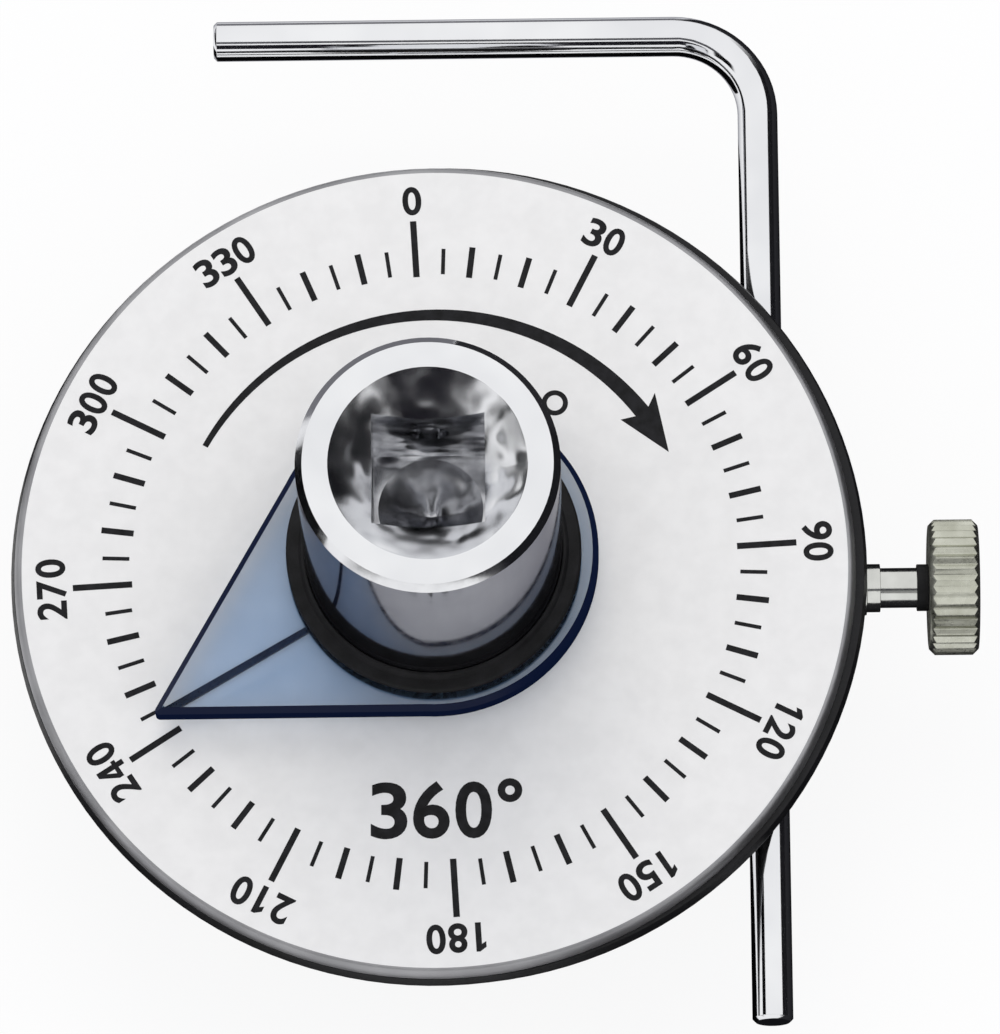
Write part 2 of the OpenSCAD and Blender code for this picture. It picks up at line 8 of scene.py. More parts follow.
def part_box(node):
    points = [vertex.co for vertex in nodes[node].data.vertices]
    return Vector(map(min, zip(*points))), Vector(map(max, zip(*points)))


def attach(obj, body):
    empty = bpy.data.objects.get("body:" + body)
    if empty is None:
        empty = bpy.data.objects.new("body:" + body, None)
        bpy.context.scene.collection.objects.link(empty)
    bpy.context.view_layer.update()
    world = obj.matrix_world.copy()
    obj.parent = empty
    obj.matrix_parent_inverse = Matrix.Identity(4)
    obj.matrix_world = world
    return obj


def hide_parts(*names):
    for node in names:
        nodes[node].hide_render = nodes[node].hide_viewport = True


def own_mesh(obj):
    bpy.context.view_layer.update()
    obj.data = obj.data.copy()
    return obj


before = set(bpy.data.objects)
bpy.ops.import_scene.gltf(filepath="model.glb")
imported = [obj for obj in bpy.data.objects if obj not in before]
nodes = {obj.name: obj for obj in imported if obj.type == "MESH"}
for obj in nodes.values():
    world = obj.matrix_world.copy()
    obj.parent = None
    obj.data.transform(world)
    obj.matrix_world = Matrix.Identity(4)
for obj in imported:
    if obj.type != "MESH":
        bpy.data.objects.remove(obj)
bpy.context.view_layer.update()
scene = bpy.context.scene
scene.view_settings.view_transform = "Standard"
mm = 0.001
print("frame loaded,", len(nodes), "nodes")


def linearRgb(hexCode):  # "#rrggbb" as linear RGBA
    channels = [int(hexCode[i:i + 2], 16) / 255 for i in (1, 3, 5)]
    linear = [c / 12.92 if c <= 0.04045 else ((c + 0.055) / 1.055) ** 2.4 for c in channels]
    return (*linear, 1.0)


def putNode(tree, kind, values=None, links=None, **settings):  # one node, its settings, values and feeds
    node = tree.nodes.new(kind)
    for key, value in settings.items():
        setattr(node, key, value)
    for socket, value in (values or {}).items():
        node.inputs[socket].default_value = value
    for socket, source in (links or {}).items():
        tree.links.new(source, node.inputs[socket])
    return node


def newFinish(name, **constants):  # a material with its shader's fixed sockets set
    material = bpy.data.materials.new(name)
    material.use_nodes = True
    tree = material.node_tree
    shader = tree.nodes["Principled BSDF"]
    for socket, value in constants.items():
        shader.inputs[socket.replace("_", " ")].default_value = value
    return material, tree, shader


# How the noise of all finishes is read: the values taken as its ends, and how fine it goes
noiseUse = {
    "cloudEnds": (0.32, 0.68), "cloudDetail": 2.0,
    "grainEnds": (0.3, 0.7), "grainDetail": 3.0, "grainRoughness": 0.6,
}


def finishSurface(tree, shader, spec):  # colour from a cloudy noise, gloss and bump from a fine one
    place = putNode(tree, "ShaderNodeTexCoord")
    grain = putNode(
        tree, "ShaderNodeTexNoise",
        {
            "Scale": 1 / (spec["grainMm"] * mm),
            "Detail": spec.get("detail", noiseUse["grainDetail"]),
            "Roughness": noiseUse["grainRoughness"],
        },
        {"Vector": spec.get("vector") or place.outputs["Object"]},
    )
    cloud = putNode(
        tree, "ShaderNodeTexNoise",
        {"Scale": 1 / (spec["cloudMm"] * mm), "Detail": noiseUse["cloudDetail"]},
        {"Vector": place.outputs["Object"]},
    )
    colour = putNode(tree, "ShaderNodeValToRGB", links={"Fac": cloud.outputs["Fac"]})
    for stop, end, tone in zip(colour.color_ramp.elements, noiseUse["cloudEnds"], ("dark", "light")):
        stop.position = end
        stop.color = linearRgb(spec[tone])
    lowEnd, highEnd = noiseUse["grainEnds"]
    gloss = putNode(
        tree, "ShaderNodeMapRange",
        {"From Min": lowEnd, "From Max": highEnd, "To Min": spec["gloss"][0], "To Max": spec["gloss"][1]},
        {"Value": grain.outputs["Fac"]},
    )
    relief = putNode(
        tree, "ShaderNodeBump", {"Strength": spec["bump"], "Distance": spec["bumpMm"] * mm},
        {"Height": grain.outputs["Fac"]},
    )
    tree.links.new(colour.outputs["Color"], shader.inputs["Base Color"])
    tree.links.new(gloss.outputs["Result"], shader.inputs["Roughness"])
    tree.links.new(relief.outputs["Normal"], shader.inputs["Normal"])
    return colour, place


# Camera: long lens from above the low end of the rod, a little turned and rolled as in the picture
cameraView = {
    "azimuth": 1.92, "elevation": 73.72, "roll": -2.49,  # degrees
    "target": (7.69, 5.80, 31.05), "distance": 1054.3,  # mm
    "lens": 313.35, "sensor": 36.0,  # mm
    "clip": (0.05, 50.0),  # metres
}


def placeCamera(spec):
    turn, rise, roll = (math.radians(spec[k]) for k in ("azimuth", "elevation", "roll"))
    back = Vector((math.sin(turn) * math.cos(rise), -math.cos(turn) * math.cos(rise), math.sin(rise)))
    level = Vector((math.cos(turn), math.sin(turn), 0))
    upright = back.cross(level)
    right = level * math.cos(roll) + upright * math.sin(roll)
    up = upright * math.cos(roll) - level * math.sin(roll)
    data = bpy.data.cameras.new("gaugeCamera")
    data.lens = spec["lens"]
    data.sensor_width = spec["sensor"]
    data.clip_start, data.clip_end = spec["clip"]
    camera = bpy.data.objects.new("gaugeCamera", data)
    scene.collection.objects.link(camera)
    place = (Vector(spec["target"]) + back * spec["distance"]) * mm
    camera.matrix_world = Matrix.Translation(place) @ Matrix((right, up, back)).transposed().to_4x4()
    scene.camera = camera


placeCamera(cameraView)
print("camera placed")

# Studio: white floor, pale surround, one large soft lamp behind the arm, and dark cloths that only the metal
# sees: a tall one on the right, a low one on the left, mats on the floor (two of them black patches under the
# dial, a painted shadow in the metal's reflections), a bar overhead and small flags before and beside the
# barrel's mouth
studio = {
    "floorSize": 12.0, "floorTint": "#f6f6f6", "floorGlow": 0.88,
    "skyTint": "#f4f5fb", "skyLight": 0.97,
    "keyPlace": (-0.05, 0.60, 1.00), "keySize": 0.6, "keyPower": 3.0, "keyTint": "#fff8ee",
    "keyAim": (0.0, 0.0, 0.03),
    # centre, width and depth of each cloth in metres, its tilt and facing in degrees, its tint, and the
    # share of its width over which each end fades out
    "cloths": [
        ("clothRight", (0.9, 0.0, 0.29), 4.0, 0.58, 90, 90, "#1d1d1f", 0.3),
        ("clothLeft", (-0.9, 0.0, 0.11), 3.6, 0.22, 90, 90, "#0b0b0c", 0.3),
        ("matRight", (0.468, 0.0, 0.0006), 0.864, 1.8, 0, 0, "#2a2a2c", 0),
        # painted shadow: the next two are black patches on the floor under the dial, standing in for the
        # floor's shade there as the metal sees it
        ("paintedShadowArm", (-0.032, 0.0425, 0.0006), 0.136, 0.040, 0, 0, "#0b0b0c", 0),
        ("paintedShadowLow", (-0.032, -0.0510, 0.0006), 0.136, 0.058, 0, 0, "#0b0b0c", 0),
        ("matBack", (-0.2, 0.5, 0.0006), 0.47, 0.74, 0, 0, "#77777a", 0),
        ("barOver", (0.0, -0.40, 0.90), 1.8, 0.20, 24, 0, "#5c5c5e", 0),
        ("flagFront", (0.0, -0.070, 0.135), 0.19, 0.09, 90, 0, "#1c1b20", 0.3),
        ("flagLeft", (-0.07, 0.0, 0.130), 0.08, 0.07, 90, 90, "#0b0b0c", 0.2),
    ],
}


def flatSheet(name, width, depth, material):  # one upright-facing quad at the origin
    mesh = bpy.data.meshes.new(name)
    w, d = width / 2, depth / 2
    mesh.from_pydata([(-w, -d, 0), (w, -d, 0), (w, d, 0), (-w, d, 0)], [], [(0, 1, 2, 3)])
    mesh.materials.append(material)
    sheet = bpy.data.objects.new(name, mesh)
    scene.collection.objects.link(sheet)
    return sheet


def feltCloth(name, tint, fade):  # matt felt, thinning out towards both ends where fade says so
    felt, tree, shader = newFinish(name, Base_Color=linearRgb(tint), Roughness=1.0, Specular_IOR_Level=0.0)
    if fade:
        place = putNode(tree, "ShaderNodeTexCoord")
        along = putNode(tree, "ShaderNodeSeparateXYZ", links={"Vector": place.outputs["Generated"]})
        fromEnd = putNode(tree, "ShaderNodeMath", {1: 0.5}, {0: along.outputs["X"]}, operation="PINGPONG")
        thick = putNode(tree, "ShaderNodeMapRange", {"From Max": fade}, {"Value": fromEnd.outputs[0]},
                        interpolation_type="SMOOTHSTEP")
        tree.links.new(thick.outputs[0], shader.inputs["Alpha"])
    return felt


def seenRays(tree):  # 1 where the camera, a mirror or clear plastic looks at it, 0 where it only gives light
    rays = putNode(tree, "ShaderNodeLightPath")
    direct = putNode(tree, "ShaderNodeMath", operation="ADD",
                     links={0: rays.outputs["Is Camera Ray"], 1: rays.outputs["Is Glossy Ray"]})
    seen = putNode(tree, "ShaderNodeMath", operation="ADD",
                   links={0: direct.outputs[0], 1: rays.outputs["Is Transmission Ray"]})
    return seen.outputs[0]


def buildStudio(spec):
    floorPaint = bpy.data.materials.new("whitePaperFloor")
    floorPaint.use_nodes = True
    tree = floorPaint.node_tree
    tree.nodes.clear()
    sides = putNode(tree, "ShaderNodeNewGeometry")
    share = putNode(tree, "ShaderNodeMath", {1: spec["floorGlow"]}, {0: seenRays(tree)}, operation="MULTIPLY")
    matt = putNode(tree, "ShaderNodeBsdfDiffuse", {"Color": linearRgb(spec["floorTint"])})
    glow = putNode(tree, "ShaderNodeEmission", {"Color": (1, 1, 1, 1), "Strength": 1.0})
    paper = putNode(tree, "ShaderNodeMixShader",
                    links={0: share.outputs[0], 1: matt.outputs[0], 2: glow.outputs[0]})
    clear = putNode(tree, "ShaderNodeBsdfTransparent")
    oneSided = putNode(tree, "ShaderNodeMixShader",  # seen from below, the floor lets the underside show
                       links={0: sides.outputs["Backfacing"], 1: paper.outputs[0], 2: clear.outputs[0]})
    putNode(tree, "ShaderNodeOutputMaterial", links={"Surface": oneSided.outputs[0]})
    flatSheet("floor", spec["floorSize"], spec["floorSize"], floorPaint)

    world = bpy.data.worlds.new("paleStudio")
    scene.world = world
    world.use_nodes = True
    tree = world.node_tree
    tree.nodes.clear()
    ambient = putNode(tree, "ShaderNodeBackground",
                      {"Color": linearRgb(spec["skyTint"]), "Strength": spec["skyLight"]})
    white = putNode(tree, "ShaderNodeBackground", {"Color": (1, 1, 1, 1), "Strength": 1.0})
    both = putNode(tree, "ShaderNodeMixShader",
                   links={0: seenRays(tree), 1: ambient.outputs[0], 2: white.outputs[0]})
    putNode(tree, "ShaderNodeOutputWorld", links={"Surface": both.outputs[0]})

    lamp = bpy.data.lights.new("softKey", "AREA")
    lamp.shape = "SQUARE"
    lamp.size = spec["keySize"]
    lamp.energy = spec["keyPower"]
    lamp.color = linearRgb(spec["keyTint"])[:3]
    key = bpy.data.objects.new("softKey", lamp)
    scene.collection.objects.link(key)
    key.location = spec["keyPlace"]
    key.visible_glossy = False  # the bright parts of the metal mirror the pale surround
    aim = Vector(spec["keyAim"]) - key.location
    key.rotation_euler = aim.to_track_quat("-Z", "Y").to_euler()

    for name, centre, width, depth, tilt, facing, tint, fade in spec["cloths"]:
        cloth = flatSheet(name, width, depth, feltCloth(name + "Felt", tint, fade))
        cloth.rotation_euler = (math.radians(tilt), 0, math.radians(facing))
        cloth.location = centre
        cloth.visible_camera = False  # only the metal sees it
        cloth.visible_shadow = False
        cloth.visible_diffuse = False
        cloth.visible_transmission = False


buildStudio(studio)
print("studio built")

# Stoved enamel on the dial's face: matt pale grey, faintly clouded, a soft sheen
enamelFace, tree, shader = newFinish("stovedEnamel", Coat_Weight=0.15, Coat_Roughness=0.35)
finishSurface(tree, shader, {
    "dark": "#e6e6e4", "light": "#ebebe9", "cloudMm": 2.5, "grainMm": 0.8, "gloss": (0.42, 0.55),
    "bump": 0.06, "bumpMm": 0.05,
})


def turnedLines(tree):  # radius and height about the drive axis, so that a noise becomes rings
    place = putNode(tree, "ShaderNodeTexCoord")
    axes = putNode(tree, "ShaderNodeSeparateXYZ", links={"Vector": place.outputs["Object"]})
    across = putNode(tree, "ShaderNodeVectorMath", {1: (1, 1, 0)}, {0: place.outputs["Object"]},
                     operation="MULTIPLY")
    radius = putNode(tree, "ShaderNodeVectorMath", links={0: across.outputs[0]}, operation="LENGTH")
    ring = putNode(tree, "ShaderNodeCombineXYZ", links={"X": radius.outputs["Value"], "Y": axes.outputs["Z"]})
    return ring.outputs[0]


# Turned aluminium at the plate's edge: grey metal with lines round it, drawn coarser than the tool's feed
turnedAluminium, tree, shader = newFinish("turnedAluminium", Metallic=1.0)
finishSurface(tree, shader, {
    "dark": "#98989b", "light": "#b1b1b4", "cloudMm": 8.0, "grainMm": 0.35, "gloss": (0.48, 0.62),
    "bump": 0.15, "bumpMm": 0.03, "vector": turnedLines(tree),
})

# Moulded ABS, spark-eroded tool: near-black, half gloss, fine even grain
blackAbs, tree, shader = newFinish("mouldedBlackAbs", Specular_IOR_Level=0.3)
finishSurface(tree, shader, {
    "dark": "#0c0c0e", "light": "#151518", "cloudMm": 6.0, "grainMm": 0.3, "gloss": (0.38, 0.56),
    "bump": 0.25, "bumpMm": 0.04,
})

# Bright chrome plate over polished steel: mirror with faint wipe marks, a shade darker at its grazing edge
chromePlate = {
    "dark": "#e4e5e8", "light": "#eff0f2", "cloudMm": 9.0, "grainMm": 1.6, "gloss": (0.045, 0.10),
    "bump": 0.012, "bumpMm": 0.05,
}
chromeEdge = linearRgb("#94949b")
brightChrome, tree, shader = newFinish("brightChromePlate", Metallic=1.0, Specular_Tint=chromeEdge)
finishSurface(tree, shader, chromePlate)

# The barrel: the same plate outside, but bare forged steel in the square, where plating does not reach
barrelRecess = {"radius": 11.25, "floor": 50.0, "plateEnds": (67.5, 71.0)}  # mm; the last two are heights
platedBarrel, tree, shader = newFinish("chromePlatedForging", Metallic=1.0, Specular_Tint=chromeEdge)
finishSurface(tree, shader, chromePlate)
forged = putNode(tree, "ShaderNodeBsdfPrincipled", {"Metallic": 1.0})
forgeScale, place = finishSurface(tree, forged, {
    "dark": "#9c9da2", "light": "#d6d7da", "cloudMm": 3.0, "grainMm": 4.6, "gloss": (0.10, 0.24),
    "bump": 0.26, "bumpMm": 1.6, "detail": 1.0,
})
axes = putNode(tree, "ShaderNodeSeparateXYZ", links={"Vector": place.outputs["Object"]})
bareBelow, platedAbove = (height * mm for height in barrelRecess["plateEnds"])
plating = putNode(tree, "ShaderNodeMapRange", {"From Min": bareBelow, "From Max": platedAbove},
                  {"Value": axes.outputs["Z"]})  # the plate thins out down the mouth
worn = putNode(tree, "ShaderNodeMix", data_type="RGBA",
               links={0: plating.outputs[0], 6: forgeScale.outputs["Color"]})
worn.inputs[7].default_value = linearRgb(chromePlate["dark"])
tree.links.new(worn.outputs[2], forged.inputs["Base Color"])
across = putNode(tree, "ShaderNodeVectorMath", {1: (1, 1, 0)}, {0: place.outputs["Object"]},
                 operation="MULTIPLY")
reach = putNode(tree, "ShaderNodeVectorMath", links={0: across.outputs[0]}, operation="LENGTH")
inside = putNode(tree, "ShaderNodeMath", {1: barrelRecess["radius"] * mm}, {0: reach.outputs["Value"]},
                 operation="LESS_THAN")
above = putNode(tree, "ShaderNodeMath", {1: barrelRecess["floor"] * mm}, {0: axes.outputs["Z"]},
                operation="GREATER_THAN")
recess = putNode(tree, "ShaderNodeMath", links={0: inside.outputs[0], 1: above.outputs[0]},
                 operation="MULTIPLY")
bothSteels = putNode(tree, "ShaderNodeMixShader",
                     links={0: recess.outputs[0], 1: shader.outputs[0], 2: forged.outputs[0]})
tree.links.new(bothSteels.outputs[0], tree.nodes["Material Output"].inputs["Surface"])

# Satin nickel plate on the knob: warm grey metal, soft gloss, small pits
satinNickel, tree, shader = newFinish("satinNickelPlate", Metallic=1.0)
finishSurface(tree, shader, {
    "dark": "#b3b4a6", "light": "#cfd0c4", "cloudMm": 3.0, "grainMm": 0.25, "gloss": (0.24, 0.40),
    "bump": 0.10, "bumpMm": 0.03,
})

# Polished nickel plate on the stud and its insert: brighter than the knob
nickelEdge = linearRgb("#5a5a58")
polishedNickel, tree, shader = newFinish("polishedNickelPlate", Metallic=1.0, Specular_Tint=nickelEdge)
finishSurface(tree, shader, {
    "dark": "#cbccc8", "light": "#dcddd9", "cloudMm": 4.0, "grainMm": 0.4, "gloss": (0.10, 0.18),
    "bump": 0.03, "bumpMm": 0.03,
})

# Moulded nitrile rubber: deep black, dull, slightly dusty
nitrileRubber, tree, shader = newFinish("mouldedNitrileRubber", Specular_IOR_Level=0.25)
finishSurface(tree, shader, {
    "dark": "#0d0d0f", "light": "#19191b", "cloudMm": 2.5, "grainMm": 0.2, "gloss": (0.50, 0.68),
    "bump": 0.2, "bumpMm": 0.03,
})

# Sintered bronze: brown metal with open pores
sinteredBronze, tree, shader = newFinish("sinteredBronze", Metallic=1.0)
finishSurface(tree, shader, {
    "dark": "#8c6a3c", "light": "#b08a52", "cloudMm": 1.5, "grainMm": 0.18, "gloss": (0.35, 0.6),
    "bump": 0.3, "bumpMm": 0.03,
})

# Zinc-plated steel: cool bright grey, softly glossy
zincSteel, tree, shader = newFinish("zincPlatedSteel", Metallic=1.0)
finishSurface(tree, shader, {
    "dark": "#a9adb5", "light": "#c3c7cd", "cloudMm": 2.0, "grainMm": 0.2, "gloss": (0.25, 0.40),
    "bump": 0.08, "bumpMm": 0.02,
})

# Oiled spring steel: dark blue-grey, half bright
springSteel, tree, shader = newFinish("oiledSpringSteel", Metallic=1.0)
finishSurface(tree, shader, {
    "dark": "#4a4d54", "light": "#666a72", "cloudMm": 2.0, "grainMm": 0.2, "gloss": (0.28, 0.45),
    "bump": 0.08, "bumpMm": 0.02,
})

# Natural nylon, turned: milky off-white with a waxy sheen
naturalNylon, tree, shader = newFinish("naturalNylon", Subsurface_Weight=0.15, Subsurface_Scale=0.001)
finishSurface(tree, shader, {
    "dark": "#ddd8c9", "light": "#ebe7da", "cloudMm": 3.0, "grainMm": 0.3, "gloss": (0.40, 0.55),
    "bump": 0.08, "bumpMm": 0.03,
})

# Turned brass: yellow metal, half bright
turnedBrass, tree, shader = newFinish("turnedBrass", Metallic=1.0)
finishSurface(tree, shader, {
    "dark": "#b08d3c", "light": "#cda953", "cloudMm": 2.0, "grainMm": 0.2, "gloss": (0.22, 0.36),
    "bump": 0.1, "bumpMm": 0.02,
})

# Screen-print ink: black, matt, a little thin in places
screenInk, tree, shader = newFinish("blackScreenInk", Specular_IOR_Level=0.2)
finishSurface(tree, shader, {
    "dark": "#0e0e10", "light": "#1d1d20", "cloudMm": 1.2, "grainMm": 0.25, "gloss": (0.45, 0.6),
    "bump": 0.08, "bumpMm": 0.01,
})

# Engraving filled with navy lacquer: deep blue, glossy
navyLacquer, tree, shader = newFinish("navyFillLacquer", Specular_IOR_Level=0.1)
finishSurface(tree, shader, {
    "dark": "#080f24", "light": "#0f1a33", "cloudMm": 1.5, "grainMm": 0.3, "gloss": (0.22, 0.34),
    "bump": 0.05, "bumpMm": 0.01,
})

# Cast acrylic, blue-grey: clear in its flats; its edges are painted a deep navy shade and made opaque,
# standing in for the light caught in them
acrylicLook = {
    "topCover": 0.03, "lowCover": 0.58, "edgeCover": 1.0,  # how much of what lies behind each face it hides
    "shadowShare": 0.5,  # share of that cover that also holds back light from the dial
    # the colour of the painted navy shade on its edges
    "topShine": 0.14, "paintedEdgeShade": "#0e1730",
    # upward part of the normal: where a flat ends and the painted edge shade is full, where the upper cover
    # turns to the lower, and where the shine begins and is full
    "flatAbove": 0.95, "edgeBelow": 0.80, "coverEnds": (0.2, -0.2), "shineEnds": (0.3, 0.9),
}
castAcrylic, tree, shader = newFinish("castAcrylic", IOR=1.49)
colour, place = finishSurface(tree, shader, {
    "dark": "#84a6cd", "light": "#98b8dd", "cloudMm": 9.0, "grainMm": 1.2, "gloss": (0.05, 0.10),
    "bump": 0.02, "bumpMm": 0.05,
})
slope = putNode(tree, "ShaderNodeSeparateXYZ", links={"Vector": place.outputs["Normal"]})
sides = putNode(tree, "ShaderNodeNewGeometry")
outward = putNode(tree, "ShaderNodeMapRange", {"To Min": 1.0, "To Max": -1.0},
                  {"Value": sides.outputs["Backfacing"]})  # a face seen from inside has its normal turned
upward = putNode(tree, "ShaderNodeMath", links={0: slope.outputs["Z"], 1: outward.outputs[0]},
                 operation="MULTIPLY")
upperEnd, lowerEnd = acrylicLook["coverEnds"]
flatCover = putNode(
    tree, "ShaderNodeMapRange",
    {"From Min": upperEnd, "From Max": lowerEnd,
     "To Min": acrylicLook["topCover"], "To Max": acrylicLook["lowCover"]},
    {"Value": upward.outputs[0]},
)  # most of the tint sits at its lower face
shineStart, shineFull = acrylicLook["shineEnds"]
shine = putNode(
    tree, "ShaderNodeMapRange",
    {"From Min": shineStart, "From Max": shineFull, "To Min": 0.0, "To Max": acrylicLook["topShine"]},
    {"Value": upward.outputs[0]},
)  # only its upper side shines, the lower one is seen through it
tree.links.new(shine.outputs[0], shader.inputs["Specular IOR Level"])
# painted shade: on its sloping faces, the bevels and sides, the colour turns deep navy and the cover full
flatness = putNode(tree, "ShaderNodeMath", links={0: slope.outputs["Z"]}, operation="ABSOLUTE")
paintedEdgeShare = putNode(
    tree, "ShaderNodeMapRange",
    {"From Min": acrylicLook["flatAbove"], "From Max": acrylicLook["edgeBelow"]},
    {"Value": flatness.outputs[0]},
)
tint = putNode(tree, "ShaderNodeMix", data_type="RGBA",
               links={0: paintedEdgeShare.outputs[0], 6: colour.outputs["Color"]})
tint.inputs[7].default_value = linearRgb(acrylicLook["paintedEdgeShade"])
tree.links.new(tint.outputs[2], shader.inputs["Base Color"])
cover = putNode(tree, "ShaderNodeMapRange", {"To Max": acrylicLook["edgeCover"]},
                {"Value": paintedEdgeShare.outputs[0], "To Min": flatCover.outputs[0]})
rays = putNode(tree, "ShaderNodeLightPath")
shade = putNode(tree, "ShaderNodeMapRange", {"To Min": 1.0, "To Max": acrylicLook["shadowShare"]},
                {"Value": rays.outputs["Is Shadow Ray"]})
held = putNode(tree, "ShaderNodeMath", links={0: cover.outputs[0], 1: shade.outputs[0]},
               operation="MULTIPLY")
tree.links.new(held.outputs[0], shader.inputs["Alpha"])
print("finishes made")

# Which finish each CAD piece gets, and how far its edges are broken, in mm (None: its own edges do)
pieceFinish = {
    "dial_plate": (turnedAluminium, 0.08), "dial_body": (blackAbs, 0.12),
    "upper_bush": (sinteredBronze, 0.08), "lower_bush": (sinteredBronze, 0.08),
    "drive_spindle": (platedBarrel, None), "friction_washer": (naturalNylon, 0.08),
    "thrust_washer": (zincSteel, 0.05), "disc_spring": (springSteel, 0.04),
    "retaining_ring": (springSteel, 0.06), "detent_ball": (zincSteel, 0), "detent_spring": (springSteel, 0),
    "pointer": (castAcrylic, None), "pointer_grommet": (nitrileRubber, 0.08),
    "rod_carrier": (blackAbs, 0.15), "carrier_screws": (zincSteel, 0.06),
    "rod_sleeve": (naturalNylon, 0.06), "reaction_rod": (brightChrome, 0.1),
    "clamp_insert": (polishedNickel, 0.06),
    "clamp_pad": (turnedBrass, 0.05), "clamp_screw": (polishedNickel, 0.05),
    "clamp_knob": (satinNickel, 0.06), "knob_ring": (nitrileRubber, 0.08),
}
edgeEasing = {"seamMm": 0.002, "segments": 2, "fromAngle": 32, "normalWeight": 50}


def dressNode(name, material, edgeMm):
    piece = nodes[name]
    mesh = piece.data
    mesh.materials.clear()
    mesh.materials.append(material)
    if edgeMm is None:
        return
    if "custom_normal" in mesh.attributes:
        mesh.attributes.remove(mesh.attributes["custom_normal"])
    mesh.shade_smooth()
    join = piece.modifiers.new("joinSeams", "WELD")
    join.merge_threshold = edgeEasing["seamMm"] * mm
    if edgeMm:
        ease = piece.modifiers.new("easeEdges", "BEVEL")
        ease.width = edgeMm * mm
        ease.segments = edgeEasing["segments"]
        ease.limit_method = "ANGLE"
        ease.angle_limit = math.radians(edgeEasing["fromAngle"])
    even = piece.modifiers.new("evenShade", "WEIGHTED_NORMAL")
    even.weight = edgeEasing["normalWeight"]


for name, (material, edgeMm) in pieceFinish.items():
    dressNode(name, material, edgeMm)
print("CAD pieces dressed")


def addPiece(name, bm, material, body):
    bmesh.ops.recalc_face_normals(bm, faces=bm.faces)
    mesh = bpy.data.meshes.new(name)
    bm.to_mesh(mesh)
    bm.free()
    mesh.materials.append(material)
    piece = bpy.data.objects.new(name, mesh)
    scene.collection.objects.link(piece)
    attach(piece, body)
    return piece


def addPrism(bm, outline, low, high):  # a flat-topped block from a 2-D outline, all in metres
    lower = [bm.verts.new((x, y, low)) for x, y in outline]
    upper = [bm.verts.new((x, y, high)) for x, y in outline]
    count = len(outline)
    bm.faces.new(upper)
    bm.faces.new(lower[::-1])
    for i in range(count):
        j = (i + 1) % count
        bm.faces.new((lower[i], lower[j], upper[j], upper[i]))


def addLathe(bm, profile, sides, x=0.0, y=0.0):  # a closed profile of radius and height, turned upright
    rings = []
    for i in range(sides):
        turn = 2 * math.pi * i / sides
        rings.append([bm.verts.new((x + r * math.cos(turn), y + r * math.sin(turn), z)) for r, z in profile])
    for i, ring in enumerate(rings):
        after = rings[(i + 1) % sides]
        for k in range(len(profile)):
            m = (k + 1) % len(profile)
            bm.faces.new((ring[k], after[k], after[m], ring[m]))


def dialPoint(radius, degrees):  # clockwise from the scale's zero, in metres
    turn = math.radians(degrees - dialPrint["scaleTurn"])
    return (radius * mm * math.sin(turn), radius * mm * math.cos(turn))


# The face: a thin coat of enamel over the plate, and the ink on it
faceCoat = {"outer": 48.35, "inner": 15.4, "thick": 0.04, "edge": 0.02, "sides": 240}
dialPrint = {
    "scaleTurn": 3.1,  # degrees the scale's zero lies anticlockwise of the rod
    "inkThick": 0.02,
    "long": (35.45, 42.4, 0.75), "middle": (35.5, 39.3, 0.72), "short": (35.75, 38.9, 0.46),  # r, r, width
    # figures: height in mm, then as shares of it the gain of a stroke's side, the width and the gap
    "numberRadius": 45.0,
    "numbers": {"high": 3.4, "bold": 0.034, "wide": 0.66, "gap": 0.09},
    # tightening arrow: mid radius, start and stop in degrees, widths of its two ends, width and length of its
    # head, and how far the barbs point back
    "arrow": {
        "radius": 30.7, "start": -58, "stop": 56, "tail": 0.7, "root": 1.9,
        "head": 5.2, "headTurn": 11, "barbTurn": 1.5, "steps": 48,
    },
    "turnFigures": "360\u00b0", "turnPlace": (1.2, -29.4),
    "turnNumber": {"high": 6.6, "bold": 0.03, "wide": 0.645, "gap": 0.10},
    "degreeRing": {"radius": 24.3, "degrees": 39.0, "outer": 1.55, "inner": 0.95, "sides": 40},
    "capShare": 0.72,  # height of a figure as a share of the type's size
    "curveSteps": 6, "weld": 0.001,  # points to a bend of an outline, and mm within which points join
    # the type's 1 has no flag and its thickened 4 no eye, so both are drawn: faces in shares of the height
    "drawn": {
        "1": [[(-0.05, -0.03), (0.15, -0.03), (0.15, 0.99), (0.02, 0.99), (-0.2, 0.84), (-0.2, 0.64),
               (-0.05, 0.73)]],
        "4": [[(0.03, -0.03), (0.22, -0.03), (0.22, 0.2), (0.325, 0.2), (0.325, 0.36), (0.22, 0.36),
               (0.22, 0.99), (0.03, 0.99), (0.03, 0.68), (0.03, 0.36), (0.03, 0.2)],
              [(0.03, 0.2), (0.03, 0.36), (-0.135, 0.36), (0.03, 0.68), (0.03, 0.99), (-0.325, 0.37),
               (-0.325, 0.2)]],
    },
}
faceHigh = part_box("dial_plate")[1].z


def buildFace(spec):
    bm = bmesh.new()
    low = faceHigh
    high = faceHigh + spec["thick"] * mm
    inner, outer, edge = (spec[k] * mm for k in ("inner", "outer", "edge"))
    profile = [
        (inner, low), (inner, high - edge), (inner + edge, high),
        (outer - edge, high), (outer, high - edge), (outer, low),
    ]
    addLathe(bm, profile, spec["sides"])
    addPiece("faceEnamel", bm, enamelFace, "dial")
    return high


inkLow = buildFace(faceCoat)
inkHigh = inkLow + dialPrint["inkThick"] * mm


def addMark(bm, degrees, inner, outer, width):  # one radial tick with parallel sides
    half = width / 2
    nearTurn = math.degrees(half / inner)
    farTurn = math.degrees(half / outer)
    addPrism(bm, [
        dialPoint(inner, degrees - nearTurn), dialPoint(outer, degrees - farTurn),
        dialPoint(outer, degrees + farTurn), dialPoint(inner, degrees + nearTurn),
    ], inkLow, inkHigh)


def buildScale(spec):
    bm = bmesh.new()
    for degrees in range(0, 360, 5):
        kind = "long" if degrees % 30 == 0 else "middle" if degrees % 10 == 0 else "short"
        addMark(bm, degrees, *spec[kind])
    addPiece("scaleMarks", bm, screenInk, "dial")


